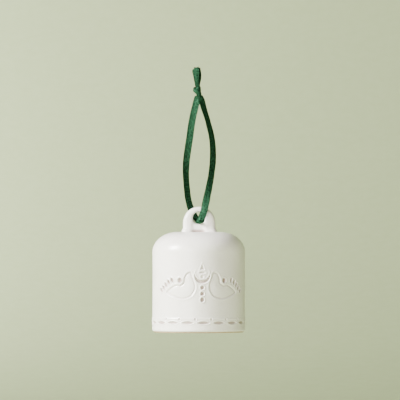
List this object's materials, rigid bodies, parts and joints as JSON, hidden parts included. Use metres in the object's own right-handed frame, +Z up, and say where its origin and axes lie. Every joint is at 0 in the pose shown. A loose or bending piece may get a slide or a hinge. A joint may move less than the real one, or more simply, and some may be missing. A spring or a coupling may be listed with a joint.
{
  "type": "bell ornament",
  "caption": "Small glazed stoneware bell with a stamped bird pattern and a top lug, hung on a knotted green satin ribbon, with a wooden bead clapper on a cord inside.",
  "frame": {"origin": "where the ribbon's two strands part under the knot and a hook or nail bears, on the bell's axis", "axes": "+Z up along the bell's axis; the stamped front of the bell faces -Y; +X to the right seen from the front"},
  "size_m": [0.0576, 0.0576, 0.1634],
  "materials": {
    "glazed_stoneware": "creamy white satin glaze over tan stoneware, bare at the foot",
    "green_satin": "double-faced satin ribbon, forest green",
    "cotton_cord": "natural twisted cotton cord",
    "beech": "unvarnished turned beech, lightly waxed"
  },
  "bodies": {
    "hanger": {"ribbon_tails": "green_satin", "ribbon_knot": "green_satin", "ribbon_neck": "green_satin"},
    "ribbon_upper": {"ribbon_strands": "green_satin"},
    "ribbon_lower": {"ribbon_bight": "green_satin"},
    "bell": {"bell_shell": "glazed_stoneware", "crown_lug": "glazed_stoneware", "clapper_eye": "glazed_stoneware"},
    "clapper_hitch": {"clapper_loop": "cotton_cord"},
    "clapper": {"clapper_knot": "cotton_cord", "clapper_cord": "cotton_cord", "clapper_bead": "beech", "clapper_end_knot": "cotton_cord"}
  },
  "joints": [
    {"name": "ribbon_sway", "type": "hinge", "parent": "hanger", "child": "ribbon_upper", "pos_m": [0, 0, 0], "axis": [1, 0, 0], "range_deg": [-25, 25]},
    {"name": "ribbon_twist", "type": "hinge", "parent": "ribbon_upper", "child": "ribbon_lower", "pos_m": [0, 0, -0.05505], "axis": [0, 0, 1], "range_deg": [-90, 90]},
    {"name": "bell_swing", "type": "hinge", "parent": "ribbon_lower", "child": "bell", "pos_m": [0, 0, -0.07], "axis": [0, 1, 0], "range_deg": [-30, 30]},
    {"name": "clapper_swing", "type": "hinge", "parent": "bell", "child": "clapper_hitch", "pos_m": [0, 0, -0.0825], "axis": [0, 1, 0], "range_deg": [-16.5, 16.5]},
    {"name": "clapper_rock", "type": "hinge", "parent": "clapper_hitch", "child": "clapper", "pos_m": [0, 0, -0.0865], "axis": [1, 0, 0], "range_deg": [-17, 17]}
  ]
}
